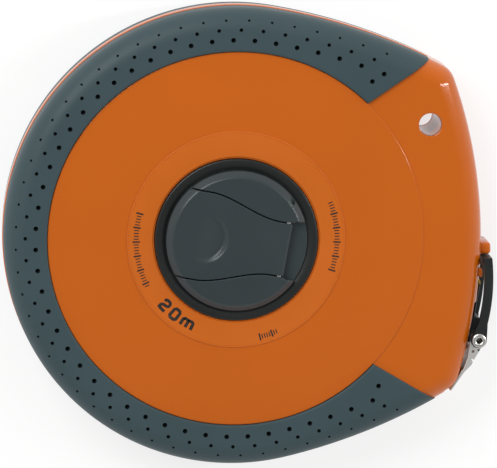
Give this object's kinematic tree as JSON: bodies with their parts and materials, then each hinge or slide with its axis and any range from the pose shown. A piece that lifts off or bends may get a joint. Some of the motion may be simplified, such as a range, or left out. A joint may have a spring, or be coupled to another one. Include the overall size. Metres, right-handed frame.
{
  "type": "closed-case tape measure",
  "caption": "Closed-case long tape measure: rounded case with soft grips, wound tape on a reel with a fold-away crank, and a tape end with finger loop and claw.",
  "frame": {"origin": "on the reel axis, in the plane that the back grip rests on", "axes": "+Z along the reel axis towards the crank, +X towards the tape mouth, +Y up the front of the case"},
  "size_m": [0.1398, 0.132, 0.0284],
  "materials": {
    "case_orange": "fine satin moulding",
    "grip_rubber": "matt, dimpled",
    "label": "printed film, satin",
    "crank_grey": "fine satin moulding",
    "black_plastic": "satin moulding",
    "roller_black": "smooth",
    "steel": "plated",
    "claw_steel": "plated sheet",
    "tape_yellow": "coated fibreglass",
    "tape_black": "coated fibreglass sleeve"
  },
  "bodies": {
    "case": {"front_shell": "case_orange", "rear_shell": "case_orange", "front_grip": "grip_rubber", "rear_grip": "grip_rubber", "label_ring": "label", "case_screws": "steel", "spindle_screw": "steel", "spindle_washer": "steel", "roller_pin": "steel", "tape_span": "tape_yellow"},
    "guide_roller": {"mouth_roller": "roller_black"},
    "reel": {"reel_drum": "black_plastic", "front_flange": "black_plastic", "rear_flange": "black_plastic", "tape_roll": "tape_yellow", "anchor_pin": "steel", "crank_disc": "crank_grey", "disc_screws": "steel", "hinge_pin": "steel"},
    "crank": {"crank_lever": "crank_grey", "knob_screw": "steel"},
    "knob": {"crank_knob": "crank_grey"},
    "tape_end": {"tape_tongue": "tape_black", "end_clamp": "black_plastic", "clamp_rivets": "steel", "end_pin": "steel"},
    "finger_ring": {"finger_loop": "black_plastic"},
    "hook": {"claw": "claw_steel"}
  },
  "joints": [
    {"name": "reel_spin", "type": "hinge", "parent": "case", "child": "reel", "pos_m": [0, 0, 0.0125], "axis": [0, 0, 1], "continuous": true},
    {"name": "crank_fold", "type": "hinge", "parent": "reel", "child": "crank", "pos_m": [0.0132, -0.00281, 0.0271], "axis": [0.2079, 0.9781, 0], "range_deg": [0, 180]},
    {"name": "knob_spin", "type": "hinge", "parent": "crank", "child": "knob", "pos_m": [-0.00939, 0.002, 0.02], "axis": [0, 0, 1], "continuous": true},
    {"name": "roller_spin", "type": "hinge", "parent": "case", "child": "guide_roller", "pos_m": [0.068, -0.0162, 0.0125], "axis": [0, 0, 1], "continuous": true},
    {"name": "tape_pull", "type": "slide", "parent": "case", "child": "tape_end", "axis": [0.2588, -0.9659, 0], "range_m": [0, 0.04]},
    {"name": "loop_swing", "type": "hinge", "parent": "tape_end", "child": "finger_ring", "pos_m": [0.06935, -0.03236, 0.0125], "axis": [0, 0, 1], "range_deg": [-150, 0]},
    {"name": "claw_swing", "type": "hinge", "parent": "tape_end", "child": "hook", "pos_m": [0.06935, -0.03236, 0.0125], "axis": [0, 0, 1], "range_deg": [0, 100]}
  ]
}
